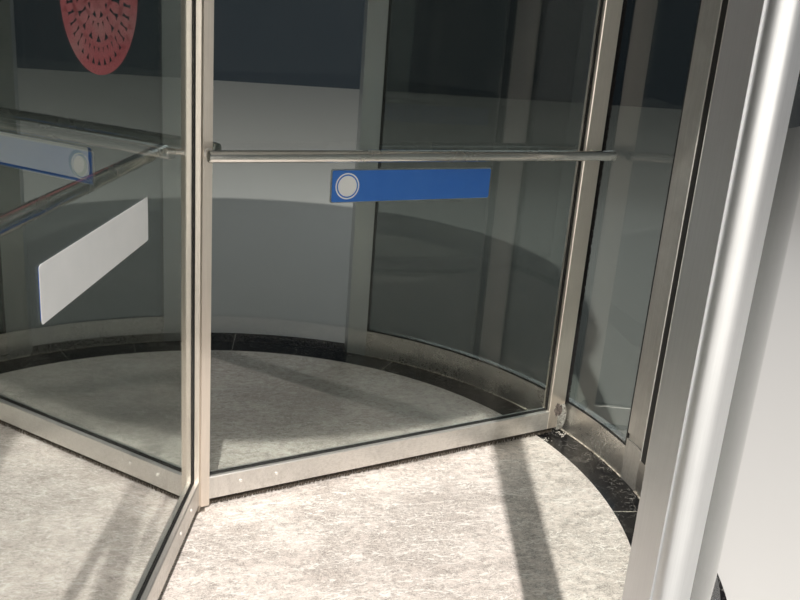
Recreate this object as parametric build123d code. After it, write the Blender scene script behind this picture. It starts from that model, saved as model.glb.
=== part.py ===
from build123d import *
from math import cos, degrees, radians, sin
import os

os.makedirs("parts", exist_ok=True)

# A three-wing revolving door for a building entrance, in millimetres.
# The origin lies on the turning axis, at the underside of the floor that the door stands on.
# +Z is up, -Y is the street side and +Y the inside of the building.

# Drum, measured from the turning axis or from the finished floor
inner_radius = 1400.0            # inside faces of rails and posts
rail_depth = 50.0                # radial depth of the curved rails
base_rail_height = 115.0
head_rail_height = 115.0
clear_height = 2200.0            # finished floor to the underside of the canopy
wall_glass_thickness = 12.0
wall_glass_setback = 4.0         # glass stands behind the rails' inside face
glass_bite = 22.0                # how far glass enters a rail's groove
glazing_play = 2.0               # room round the glass in a groove

# Posts
throat_half_angle = 28.1         # from the door's centre line to the edge of each doorway
end_post_angle = 3.5             # width of an end post, seen from the axis
jamb_depth = 115.0               # straight doorway side of an end post
jamb_fold = 72.0                 # inside face to the fold in the doorway side
jamb_step = 2.5                  # step of the cladding at that fold
jamb_return = 63.0               # outside face of an end post
jamb_flat = 7.0                  # flat between the step and the rolled corner of the doorway side
mid_post_angle = 4.0
mid_foot_height = 145.0          # foot block of a middle post, above the finished floor
mid_band_height = 22.0           # recessed band above the foot block
mid_band_depth = 6.0
sheet_thickness = 4.0            # folded cladding of the posts
edge_gasket = 10.0               # rubber between wall glass and posts
joint_gasket = 42.0              # wide rubber joint on the street side of a middle post

# Floor
floor_thickness = 30.0
border_inside = 120.0            # black border seen inside the rails
border_outside = 55.0            # black border seen outside the rails
stone_joint = 0.3
pivot_width = 60.0               # square bearing plate let into the stone
pivot_bore_floor = 8.0           # metal left under the pivot's bore

# Canopy
canopy_height = 300.0
canopy_overhang = 60.0           # canopy beyond the outside of the rails
canopy_sheet = 6.0
canopy_ledge = 15.0              # ledge that carries the ceiling, inside the rails' face
ceiling_thickness = 8.0
ceiling_hole_radius = 45.0
roof_sheet = 4.0
bearing_width = 260.0
bearing_height = 110.0

# Rotor
wing_count = 3
rest_angle = 17.0                # first wing, counted from +X towards +Y
wing_thickness = 44.0
wing_gap_below = 30.0            # finished floor to the bottom rail
wing_gap_above = 35.0            # top rail to the canopy
wing_rail_height = 70.0
stile_width = 70.0
arm_reach = 38.0                 # how far an arm of the centre post reaches
pocket_width = 18.0
pocket_depth = 20.0
wing_glass_thickness = 8.0
profile_round = 2.5
post_gap = 8.0                   # centre post to floor and to ceiling
pivot_radius = 15.0
pivot_clearance = 0.5
shaft_radius = 30.0
shaft_clearance = 0.5

# Push bars
bar_height = 1040.0
bar_radius = 16.0
bar_wall = 2.0
bar_bevel = 2.0                  # bevel round the ends of a bar
bar_offset = 89.0                # middle of the wing to the middle of the bar
bar_start = 5.0
bar_end_gap = 6.0                # bar end to the wing's outer edge
standoff_radius = 8.0

# Seals on the rotor
brush_thickness = 10.0
brush_root = 8.0                 # part of a brush that sits in its groove
side_brush_length = 16.0         # free length of the brush along a stile
side_brush_spread = 34.0         # thickness of that brush, clear of its groove
running_gap = 6.0                # brush tips to floor, walls and canopy

# Cast shoe at the foot of each outer stile
casting_height = 90.0            # part of the shoe let into the stile
casting_width = 26.0
casting_drop = 12.0              # part of the shoe below the stile
casting_gap = 7.0                # nose of the shoe to the wall rails

# Heights above the part's base
floor_top = floor_thickness
canopy_bottom = floor_top + clear_height
canopy_top = canopy_bottom + canopy_height
base_rail_top = floor_top + base_rail_height
head_rail_bottom = canopy_bottom - head_rail_height
wing_bottom = floor_top + wing_gap_below
wing_top = canopy_bottom - wing_gap_above
lower_rail_top = wing_bottom + wing_rail_height
upper_rail_bottom = wing_top - wing_rail_height
post_bottom = floor_top + post_gap
ceiling_bottom = canopy_bottom + canopy_sheet
ceiling_top = ceiling_bottom + ceiling_thickness
post_top = canopy_bottom - post_gap

glass_inner = inner_radius + wall_glass_setback
glass_outer = glass_inner + wall_glass_thickness
rail_outer = inner_radius + rail_depth
half_wing = wing_thickness / 2
brush_reach = inner_radius - running_gap
wing_radius = brush_reach - side_brush_length
floor_disc_radius = inner_radius - border_inside
border_radius = rail_outer + border_outside
canopy_radius = rail_outer + canopy_overhang
stile_inner = wing_radius - stile_width
shoe_bottom = wing_bottom - casting_drop
shoe_top = wing_bottom + casting_height


def save(node, shape):
    export_step(shape, "parts/" + node + ".step")


def around(radius, angle):
    return (radius * cos(radians(angle)), radius * sin(radians(angle)))


def swept_profile(points, start_angle, end_angle):
    """Turn an outline of (radius, height) points about the axis, from one plan angle to another."""
    outline = Plane.XZ * make_face(Polyline(*points, close=True))
    return Rot(0, 0, start_angle) * revolve(outline, Axis.Z, end_angle - start_angle)


def arc_block(radius_in, radius_out, bottom, top, start_angle, end_angle):
    points = [(radius_in, bottom), (radius_out, bottom), (radius_out, top), (radius_in, top)]
    return swept_profile(points, start_angle, end_angle)


def arc_degrees(length, radius):
    """Plan angle that a length takes along a circle."""
    return degrees(length / radius)


def rail_outline(edge, lip):
    """Curved rail with a groove for the glass: edge is its outer height, lip the height of its open side."""
    into = 1.0 if lip > edge else -1.0
    groove_floor = lip - into * glass_bite
    return [
        (inner_radius, edge),
        (rail_outer, edge),
        (rail_outer, lip),
        (glass_outer + glazing_play, lip),
        (glass_outer + glazing_play, groove_floor),
        (glass_inner - glazing_play, groove_floor),
        (glass_inner - glazing_play, lip),
        (inner_radius, lip),
    ]


# Each wall runs from one doorway to the other: two bays of curved glass on either side of a middle post
edge_angle = 90.0 - throat_half_angle
bay_outer = edge_angle - end_post_angle
bay_inner = mid_post_angle / 2
bays = {
    "right_back": (bay_inner, bay_outer),
    "right_front": (-bay_outer, -bay_inner),
    "left_back": (180.0 - bay_outer, 180.0 - bay_inner),
    "left_front": (180.0 + bay_inner, 180.0 + bay_outer),
}


def end_post(street, right):
    """Folded end post: curved inside face, straight doorway side, rolled outer corner and outside return."""
    start = edge_angle
    corner = around(inner_radius, start)
    wall_side_in = around(inner_radius, bay_outer)
    wall_side_out = around(rail_outer, bay_outer)
    fold = (corner[0], corner[1] + jamb_fold)
    step = (corner[0] + jamb_step, corner[1] + jamb_fold)
    nose = (corner[0] + jamb_step, corner[1] + jamb_depth)
    turn = around(jamb_return, start - 90.0)
    shoulder = (nose[0] + turn[0], nose[1] + turn[1])
    inside_face = RadiusArc(wall_side_in, corner, -inner_radius)
    # The roll is tangent to both sides, so it takes the same length off each of them
    roll_length = jamb_depth - jamb_fold - jamb_flat
    roll_start = (nose[0], nose[1] - roll_length)
    reach = around(roll_length, start - 90.0)
    roll_end = (nose[0] + reach[0], nose[1] + reach[1])
    roll = TangentArc(roll_start, roll_end, tangent=(0, 1))
    outline = inside_face + Polyline(corner, fold, step, roll_start) + roll
    outline += Polyline(roll_end, shoulder, wall_side_out, wall_side_in)
    face = make_face(outline)
    hollow = offset(face, -sheet_thickness, kind=Kind.INTERSECTION)
    post = extrude(face - hollow, clear_height)
    post = Pos(0, 0, floor_top) * post
    if street:
        post = mirror(post, Plane.XZ)
    if not right:
        post = mirror(post, Plane.YZ)
    return post


def mid_post(centre_angle):
    """Hollow post between two bays, with a foot block under a recessed band on its inside face."""
    start = centre_angle - mid_post_angle / 2
    end = centre_angle + mid_post_angle / 2
    band_radius = inner_radius + mid_band_depth
    foot_top = floor_top + mid_foot_height
    band_top = foot_top + mid_band_height
    block = swept_profile([
        (inner_radius, floor_top),
        (rail_outer, floor_top),
        (rail_outer, canopy_bottom),
        (inner_radius, canopy_bottom),
        (inner_radius, band_top),
        (band_radius, band_top),
        (band_radius, foot_top),
        (inner_radius, foot_top),
    ], start, end)
    margin = arc_degrees(sheet_thickness, inner_radius)
    core = arc_block(band_radius + sheet_thickness, rail_outer - sheet_thickness,
                     floor_top, canopy_bottom, start + margin, end - margin)
    return block - core


def wall_bay(name, start, end):
    """Base rail, head rail, curved pane and the pane's edge gaskets of one bay."""
    street_bay = name.endswith("front")
    post_at_start = abs(start % 180.0 - bay_inner) < 0.01
    first_width = joint_gasket if street_bay and post_at_start else edge_gasket
    last_width = joint_gasket if street_bay and not post_at_start else edge_gasket
    first = arc_degrees(first_width, inner_radius)
    last = arc_degrees(last_width, inner_radius)
    base = swept_profile(rail_outline(floor_top, base_rail_top), start, end)
    head = swept_profile(rail_outline(canopy_bottom, head_rail_bottom), start, end)
    pane = arc_block(glass_inner, glass_outer, base_rail_top - glass_bite, head_rail_bottom + glass_bite,
                     start + first, end - last)
    seals = [
        arc_block(glass_inner - glazing_play, glass_outer + glazing_play, base_rail_top, head_rail_bottom,
                  start, start + first),
        arc_block(glass_inner - glazing_play, glass_outer + glazing_play, base_rail_top, head_rail_bottom,
                  end - last, end),
    ]
    return base, head, pane, seals


def build_walls():
    gaskets = []
    heads = {"left": [], "right": []}
    for name, (start, end) in bays.items():
        base, head, pane, seals = wall_bay(name, start, end)
        save("base_rail_" + name, base)
        save("wall_glass_" + name, pane)
        heads[name.split("_")[0]].append(head)
        gaskets.extend(seals)
    for side, pair in heads.items():
        save("head_rail_" + side, Compound(children=pair))
    save("wall_gaskets", Compound(children=gaskets))
    save("entrance_post_right", end_post(True, True))
    save("entrance_post_left", end_post(True, False))
    save("inside_post_right", end_post(False, True))
    save("inside_post_left", end_post(False, False))
    save("middle_post_right", mid_post(0.0))
    save("middle_post_left", mid_post(180.0))


def build_floor():
    hole_width = pivot_width + 2 * stone_joint
    hole = Pos(0, 0, floor_top / 2) * Box(hole_width, hole_width, floor_thickness)
    disc = Pos(0, 0, floor_top / 2) * Cylinder(floor_disc_radius, floor_thickness)
    save("floor_disc", disc - hole)
    border = arc_block(floor_disc_radius + stone_joint, border_radius, 0, floor_top, 0, 360)
    save("floor_border", border)
    plate = Pos(0, 0, floor_top / 2) * Box(pivot_width, pivot_width, floor_thickness)
    bore_depth = floor_thickness - pivot_bore_floor
    bore = Pos(0, 0, floor_top - bore_depth / 2) * Cylinder(pivot_radius + pivot_clearance, bore_depth)
    save("floor_pivot", plate - bore)


def build_canopy():
    ledge_radius = inner_radius - canopy_ledge
    skin_inner = canopy_radius - canopy_sheet
    section = [
        (ledge_radius, canopy_bottom),
        (canopy_radius, canopy_bottom),
        (canopy_radius, canopy_top),
        (skin_inner, canopy_top),
        (skin_inner, ceiling_bottom),
        (ledge_radius, ceiling_bottom),
    ]
    save("canopy_front", swept_profile(section, 180, 360))
    save("canopy_back", swept_profile(section, 0, 180))
    ceiling = Pos(0, 0, ceiling_bottom + ceiling_thickness / 2) * Cylinder(inner_radius, ceiling_thickness)
    opening = Pos(0, 0, ceiling_bottom + ceiling_thickness / 2) * Cylinder(
        ceiling_hole_radius, ceiling_thickness)
    save("ceiling_panel", ceiling - opening)
    roof = Pos(0, 0, canopy_top + roof_sheet / 2) * Cylinder(canopy_radius, roof_sheet)
    save("roof_cover", roof)
    bearing_middle = Pos(0, 0, ceiling_top + bearing_height / 2)
    housing = bearing_middle * Box(bearing_width, bearing_width, bearing_height)
    shaft_hole = bearing_middle * Cylinder(shaft_radius + shaft_clearance, bearing_height)
    save("top_bearing", housing - shaft_hole)


def profile_along(outline, length, start):
    """Extrude a (y, z) outline along a wing."""
    face = Plane.YZ * make_face(Polyline(*outline, close=True))
    return Pos(start, 0, 0) * extrude(face, length)


def rail_section(open_side, closed_side):
    """Section of a wing rail: a pocket for the glass on one side, a groove for the brush on the other."""
    into = 1.0 if open_side > closed_side else -1.0
    pocket = pocket_width / 2
    groove = brush_thickness / 2
    pocket_floor = open_side - into * pocket_depth
    groove_floor = closed_side + into * brush_root
    return [
        (-half_wing, closed_side),
        (-groove, closed_side),
        (-groove, groove_floor),
        (groove, groove_floor),
        (groove, closed_side),
        (half_wing, closed_side),
        (half_wing, open_side - into * profile_round),
        (half_wing - profile_round, open_side),
        (pocket, open_side),
        (pocket, pocket_floor),
        (-pocket, pocket_floor),
        (-pocket, open_side),
        (-half_wing + profile_round, open_side),
        (-half_wing, open_side - into * profile_round),
    ]


def outer_stile():
    pocket = pocket_width / 2
    groove = brush_thickness / 2
    outline = [
        (wing_radius, -half_wing),
        (wing_radius, -groove),
        (wing_radius - brush_root, -groove),
        (wing_radius - brush_root, groove),
        (wing_radius, groove),
        (wing_radius, half_wing),
        (stile_inner + profile_round, half_wing),
        (stile_inner, half_wing - profile_round),
        (stile_inner, pocket),
        (stile_inner + pocket_depth, pocket),
        (stile_inner + pocket_depth, -pocket),
        (stile_inner, -pocket),
        (stile_inner, -half_wing + profile_round),
        (stile_inner + profile_round, -half_wing),
    ]
    face = make_face(Polyline(*outline, close=True))
    stile = Pos(0, 0, wing_bottom) * extrude(face, wing_top - wing_bottom)
    seat = Pos(wing_radius - casting_width / 2, 0, (wing_bottom + shoe_top) / 2)
    return stile - seat * Box(casting_width, wing_thickness, shoe_top - wing_bottom)


def foot_casting():
    """Cast shoe let into the foot of a stile, with a rounded nose that stands past it."""
    inner = wing_radius - casting_width
    back = Polyline((wing_radius, shoe_bottom), (inner, shoe_bottom), (inner, shoe_top),
                    (wing_radius, shoe_top))
    nose = ThreePointArc((wing_radius, shoe_top), (inner_radius - casting_gap, (shoe_bottom + shoe_top) / 2),
                         (wing_radius, shoe_bottom))
    return extrude(Plane.XZ * make_face(back + nose), half_wing, both=True)


def push_bar():
    """Stainless tube with closed ends on two round standoffs, on the pushing side of a wing."""
    length = wing_radius - bar_end_gap - bar_start
    centre = Pos(bar_start + length / 2, -bar_offset, floor_top + bar_height)
    rod = Cylinder(bar_radius, length, rotation=(0, 90, 0))
    bar = centre * chamfer(rod.edges().filter_by(GeomType.CIRCLE), bar_bevel)
    for along in ((bar_start + half_wing), wing_radius - stile_width / 2):
        reach = bar_offset - half_wing
        bar += Pos(along, -half_wing - reach / 2, floor_top + bar_height) * Cylinder(
            standoff_radius, reach, rotation=(90, 0, 0))
    bore = centre * Cylinder(bar_radius - bar_wall, length - 2 * bar_wall, rotation=(0, 90, 0))
    return bar - bore


def wing_glass():
    start = arm_reach - pocket_depth
    end = stile_inner + pocket_depth
    bottom = lower_rail_top - pocket_depth
    top = upper_rail_bottom + pocket_depth
    middle = Pos((start + end) / 2, 0, (bottom + top) / 2)
    return middle * Box(end - start, wing_glass_thickness, top - bottom)


def brush(start, end, bottom, top, thickness=brush_thickness):
    return Pos((start + end) / 2, 0, (bottom + top) / 2) * Box(end - start, thickness, top - bottom)


def centre_post():
    """Three arms on one core, each with a pocket that takes the edge of a pane."""
    height = post_top - post_bottom
    middle = (post_top + post_bottom) / 2
    post = None
    for index in range(wing_count):
        turn = Rot(0, 0, rest_angle + index * 360.0 / wing_count)
        arm = turn * Pos(arm_reach / 2, 0, middle) * Box(arm_reach, wing_thickness, height)
        post = arm if post is None else post + arm
    for index in range(wing_count):
        turn = Rot(0, 0, rest_angle + index * 360.0 / wing_count)
        pocket = Pos(arm_reach - pocket_depth / 2, 0, (lower_rail_top + upper_rail_bottom) / 2)
        pocket_height = upper_rail_bottom - lower_rail_top + 2 * pocket_depth
        post -= turn * pocket * Box(pocket_depth, pocket_width, pocket_height)
    pin_length = post_bottom - pivot_bore_floor - 2 * pivot_clearance
    post += Pos(0, 0, post_bottom - pin_length / 2) * Cylinder(pivot_radius, pin_length)
    shaft_length = ceiling_top + bearing_height - post_top
    post += Pos(0, 0, post_top + shaft_length / 2) * Cylinder(shaft_radius, shaft_length)
    return post


def build_rotor():
    save("centre_post", centre_post())
    shared = {"side_brushes": [], "floor_brushes": [], "canopy_brushes": [], "foot_castings": []}
    rail_length = stile_inner - arm_reach
    for index, name in enumerate(("a", "b", "c")):
        turn = Rot(0, 0, rest_angle + index * 360.0 / wing_count)
        lower = profile_along(rail_section(lower_rail_top, wing_bottom), rail_length, arm_reach)
        upper = profile_along(rail_section(upper_rail_bottom, wing_top), rail_length, arm_reach)
        save("wing_" + name + "_bottom_rail", turn * lower)
        save("wing_" + name + "_top_rail", turn * upper)
        save("wing_" + name + "_outer_stile", turn * outer_stile())
        save("wing_" + name + "_glass", turn * wing_glass())
        save("wing_" + name + "_push_bar", turn * push_bar())
        shared["side_brushes"].append(
            turn * (brush(wing_radius - brush_root, brush_reach, shoe_top, wing_top)
                    + brush(wing_radius, brush_reach, shoe_top, wing_top, side_brush_spread)))
        shared["floor_brushes"].append(
            turn * (brush(arm_reach, stile_inner, floor_top + running_gap, wing_bottom + brush_root)
                    + brush(arm_reach, wing_radius - casting_width, floor_top + running_gap, wing_bottom)))
        shared["canopy_brushes"].append(
            turn * (brush(arm_reach, stile_inner, wing_top - brush_root, canopy_bottom - running_gap)
                    + brush(arm_reach, brush_reach, wing_top, canopy_bottom - running_gap)))
        shared["foot_castings"].append(turn * foot_casting())
    for node, solids in shared.items():
        save(node, Compound(children=solids))


build_floor()
build_walls()
build_canopy()
build_rotor()
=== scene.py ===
import random
from math import atan2, cos, pi, radians, sin

import bmesh
import bpy
from mathutils import Matrix, Vector


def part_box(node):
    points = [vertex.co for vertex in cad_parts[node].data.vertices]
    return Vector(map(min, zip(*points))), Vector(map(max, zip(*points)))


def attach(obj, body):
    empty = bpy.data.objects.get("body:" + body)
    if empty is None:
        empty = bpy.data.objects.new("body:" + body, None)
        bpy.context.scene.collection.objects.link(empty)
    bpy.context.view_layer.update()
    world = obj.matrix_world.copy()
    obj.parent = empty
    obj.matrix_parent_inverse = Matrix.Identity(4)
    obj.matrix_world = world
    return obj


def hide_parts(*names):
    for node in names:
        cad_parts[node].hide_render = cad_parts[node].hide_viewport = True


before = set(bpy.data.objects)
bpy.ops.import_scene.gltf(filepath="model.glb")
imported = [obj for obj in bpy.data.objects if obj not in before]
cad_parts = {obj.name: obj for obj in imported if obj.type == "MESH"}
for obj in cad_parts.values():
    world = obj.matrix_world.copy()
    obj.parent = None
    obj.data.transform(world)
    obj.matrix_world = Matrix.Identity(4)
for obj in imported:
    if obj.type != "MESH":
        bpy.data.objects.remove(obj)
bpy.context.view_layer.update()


# Stone disc
# A round of pale grey-cream limestone, sawn, honed and let flush into the floor.
# Years of shoes have scuffed it all over with short pale hairlines that cross each other.
def linear(colour):
    """The linear values of an sRGB hex colour, as a shader takes them."""
    shares = [int(colour[place:place + 2], 16) / 255 for place in (1, 3, 5)]
    return [s / 12.92 if s <= 0.04045 else ((s + 0.055) / 1.055) ** 2.4 for s in shares] + [1.0]


def add(tree, kind, inputs=None, **settings):
    """Adds a node with its settings. An input is given a value, or a socket to be linked to."""
    made = tree.nodes.new(kind)
    for name, value in settings.items():
        setattr(made, name, value)
    for name, value in (inputs or {}).items():
        if isinstance(value, bpy.types.NodeSocket):
            tree.links.new(value, made.inputs[name])
        else:
            made.inputs[name].default_value = value
    return made


def new_finish(name):
    """An empty material and its node tree."""
    finish = bpy.data.materials.new(name)
    finish.use_nodes = True
    finish.node_tree.nodes.clear()
    return finish, finish.node_tree


def coat_nodes(finish, *nodes):
    """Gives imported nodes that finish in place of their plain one."""
    for name in nodes:
        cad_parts[name].material_slots[0].material = finish


def per_metre(millimetres):
    """The scale of a pattern whose marks lie that many millimetres apart."""
    return 1000.0 / millimetres


def ramp(tree, value, low, high, start, end):
    """The value spread from its low and high marks to a start and an end, and held there beyond them."""
    return add(tree, "ShaderNodeMapRange", {0: value, 1: low, 2: high, 3: start, 4: end}).outputs[0]


def mixed(tree, share, first, second):
    """Two colours mixed by a share from 0 to 1."""
    return add(tree, "ShaderNodeMix", {0: share, 6: first, 7: second}, data_type="RGBA").outputs[2]


floor_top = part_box("floor_disc")[1].z

# Honed limestone is dull and close-grained: it takes the light evenly, and its scuffs catch the eye.
limestone, tree = new_finish("honed_limestone")
place = add(tree, "ShaderNodeTexCoord").outputs["Object"]
# clouds about 240 mm across, with the worn lanes between them
clouds = add(tree, "ShaderNodeTexNoise", {"Vector": place, "Scale": per_metre(238.1), "Detail": 7.0,
                                          "Roughness": 0.6, "Distortion": 0.7}).outputs["Fac"]
cloud = ramp(tree, clouds, 0.44, 0.60, 0.0, 1.0)
# the crystals are under 1 mm: they are drawn at 4 mm so that they show
grain = add(tree, "ShaderNodeTexNoise", {"Vector": place, "Scale": per_metre(4.167), "Detail": 3.0,
                                         "Roughness": 0.7}).outputs["Fac"]
base = mixed(tree, cloud, linear("#dacec6"), linear("#a99e97"))
# darker mottling 10 to 30 mm across, where the honing has opened the stone
mottling = add(tree, "ShaderNodeTexNoise", {"Vector": place, "Scale": per_metre(27.78), "Detail": 8.0,
                                            "Roughness": 0.72}).outputs["Fac"]
mottled = ramp(tree, mottling, 0.46, 0.62, 0.0, 0.75)
base = mixed(tree, mottled, base, linear("#776d67"))
grained = ramp(tree, grain, 0.38, 0.62, 0.0, 0.6)
marks = mixed(tree, grained, base, linear("#efe8df"))
# Hairlines 15 to 60 mm long and about 1 mm wide: level lines of a warped noise, drawn out along one way.
# Each row gives their spacing in millimetres, the way they run, their draw, their colour and strength.
hairlines = (
    (21.74, 0.4, 0.34, "#fbf7f1", 0.8),
    (15.63, -0.7, 0.42, "#f7f1e9", 0.8),
    (29.41, 1.7, 0.30, "#fcf8f2", 0.75),
    (17.24, 2.4, 0.40, "#857c74", 0.55),
)
for spacing, turn, draw, tint, most in hairlines:
    drawn = add(tree, "ShaderNodeMapping", {"Vector": place, "Rotation": (0.0, 0.0, turn),
                                            "Scale": (draw, 1.0, 1.0)}).outputs[0]
    level = add(tree, "ShaderNodeTexNoise", {"Vector": drawn, "Scale": per_metre(spacing), "Detail": 1.0,
                                             "Roughness": 0.5, "Distortion": 1.2}).outputs["Fac"]
    off_level = add(tree, "ShaderNodeMath", {0: level, 1: 0.5}, operation="SUBTRACT").outputs[0]
    width = add(tree, "ShaderNodeMath", {0: off_level}, operation="ABSOLUTE").outputs[0]
    hair = ramp(tree, width, 0.0, 0.03, most, 0.0)
    where = add(tree, "ShaderNodeTexNoise", {"Vector": drawn, "Scale": 0.4 * per_metre(spacing),
                                             "Detail": 2.0}).outputs["Fac"]
    seen = ramp(tree, where, 0.38, 0.52, 0.0, 1.0)
    share = add(tree, "ShaderNodeMath", {0: hair, 1: seen}, operation="MULTIPLY").outputs[0]
    marks = mixed(tree, share, marks, linear(tint))
# the worn lanes between the clouds are a little smoother
worn = ramp(tree, clouds, 0.3, 0.7, 0.5, 0.66)
dents = add(tree, "ShaderNodeBump", {"Height": grain, "Strength": 0.12, "Distance": 0.0006}).outputs[0]
shader = add(tree, "ShaderNodeBsdfPrincipled", {"Base Color": marks, "Roughness": worn, "Normal": dents,
                                                "IOR": 1.5})
add(tree, "ShaderNodeOutputMaterial", {"Surface": shader.outputs[0]})
coat_nodes(limestone, "floor_disc")


# Marble border
# Slabs of polished black marble laid in a ring round the disc, twelve to the full turn.
# The wall rails stand on it. Its polish is covered with short pale scratches and its joints are chipped.
rail_radius = 1.4
slab_count = 12
first_joint = radians(-7.0) * rail_radius
slab_length = 2 * pi * rail_radius / slab_count
chip_depth = 0.012
joint_half = 0.006


def drum_place(tree):
    """Distance from the axis, distance round the drum and height, so that a pattern follows the curve."""
    spot = add(tree, "ShaderNodeTexCoord").outputs["Object"]
    flat = add(tree, "ShaderNodeVectorMath", {0: spot, 1: (1.0, 1.0, 0.0)}, operation="MULTIPLY").outputs[0]
    out = add(tree, "ShaderNodeVectorMath", {0: flat}, operation="LENGTH").outputs[1]
    parts = add(tree, "ShaderNodeSeparateXYZ", {0: spot}).outputs
    turn = add(tree, "ShaderNodeMath", {0: parts[1], 1: parts[0]}, operation="ARCTAN2").outputs[0]
    along = add(tree, "ShaderNodeMath", {0: turn, 1: rail_radius}, operation="MULTIPLY").outputs[0]
    return add(tree, "ShaderNodeCombineXYZ", {0: out, 1: along, 2: parts[2]}).outputs[0]


# Polished marble is nearly black and mirrors the steel above it, and every scratch shows white in it.
marble, tree = new_finish("polished_black_marble")
place = add(tree, "ShaderNodeTexCoord").outputs["Object"]
# faint lighter clouds about 140 mm across
clouds = add(tree, "ShaderNodeTexNoise", {"Vector": place, "Scale": per_metre(142.9), "Detail": 6.0,
                                          "Roughness": 0.6, "Distortion": 0.6}).outputs["Fac"]
cloud = ramp(tree, clouds, 0.4, 0.7, 0.0, 1.0)
colour = mixed(tree, cloud, linear("#0f0f13"), linear("#262422"))
warp = add(tree, "ShaderNodeTexNoise", {"Vector": place, "Scale": per_metre(22.22),
                                        "Detail": 3.0}).outputs["Color"]
bent = add(tree, "ShaderNodeVectorMath", {0: warp, 1: (0.03, 0.03, 0.0), 2: place},
           operation="MULTIPLY_ADD").outputs[0]
# squiggles about 14 mm long, broken up by a finer pattern and thicker towards the rails, where feet drag
threads = add(tree, "ShaderNodeTexVoronoi", {"Vector": bent, "Scale": per_metre(14.29)},
              feature="DISTANCE_TO_EDGE", voronoi_dimensions="2D").outputs["Distance"]
thread = ramp(tree, threads, 0.0, 0.06, 1.0, 0.0)
where = add(tree, "ShaderNodeTexNoise", {"Vector": place, "Scale": per_metre(19.23),
                                         "Detail": 2.0}).outputs["Fac"]
seen = ramp(tree, where, 0.48, 0.62, 0.0, 0.6)
ring_place = add(tree, "ShaderNodeSeparateXYZ", {0: drum_place(tree)}).outputs
dragged = ramp(tree, ring_place[0], 1.29, 1.37, 0.35, 1.0)
often = add(tree, "ShaderNodeMath", {0: seen, 1: dragged}, operation="MULTIPLY").outputs[0]
scratch = add(tree, "ShaderNodeMath", {0: thread, 1: often}, operation="MULTIPLY").outputs[0]
colour = mixed(tree, scratch, colour, linear("#c4c0ba"))
# joints: the distance round the ring to the nearest one, with edges chipped by noise
from_joint = add(tree, "ShaderNodeMath", {0: ring_place[1], 1: first_joint},
                 operation="SUBTRACT").outputs[0]
chips = add(tree, "ShaderNodeTexNoise", {"Vector": place, "Scale": per_metre(8.333),
                                         "Detail": 4.0}).outputs["Fac"]
ragged = add(tree, "ShaderNodeMath", {0: chips, 1: chip_depth, 2: from_joint},
             operation="MULTIPLY_ADD").outputs[0]
wrapped = add(tree, "ShaderNodeMath", {0: ragged, 1: slab_length},
              operation="FLOORED_MODULO").outputs[0]
near = add(tree, "ShaderNodeMath", {0: wrapped, 1: joint_half}, operation="SUBTRACT").outputs[0]
gap = add(tree, "ShaderNodeMath", {0: near}, operation="ABSOLUTE").outputs[0]
joint = ramp(tree, gap, 0.0006, 0.0020, 0.85, 0.0)
colour = mixed(tree, joint, colour, linear("#cdc7bb"))
dull = add(tree, "ShaderNodeMath", {0: cloud, 1: 0.18, 2: 0.15}, operation="MULTIPLY_ADD").outputs[0]
height = add(tree, "ShaderNodeMath", {0: joint, 1: -1.0, 2: scratch}, operation="MULTIPLY_ADD").outputs[0]
dents = add(tree, "ShaderNodeBump", {"Height": height, "Strength": 0.3, "Distance": 0.0006}).outputs[0]
shader = add(tree, "ShaderNodeBsdfPrincipled", {"Base Color": colour, "Roughness": dull, "Normal": dents,
                                                "IOR": 1.5})
add(tree, "ShaderNodeOutputMaterial", {"Surface": shader.outputs[0]})
coat_nodes(marble, "floor_border")


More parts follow.
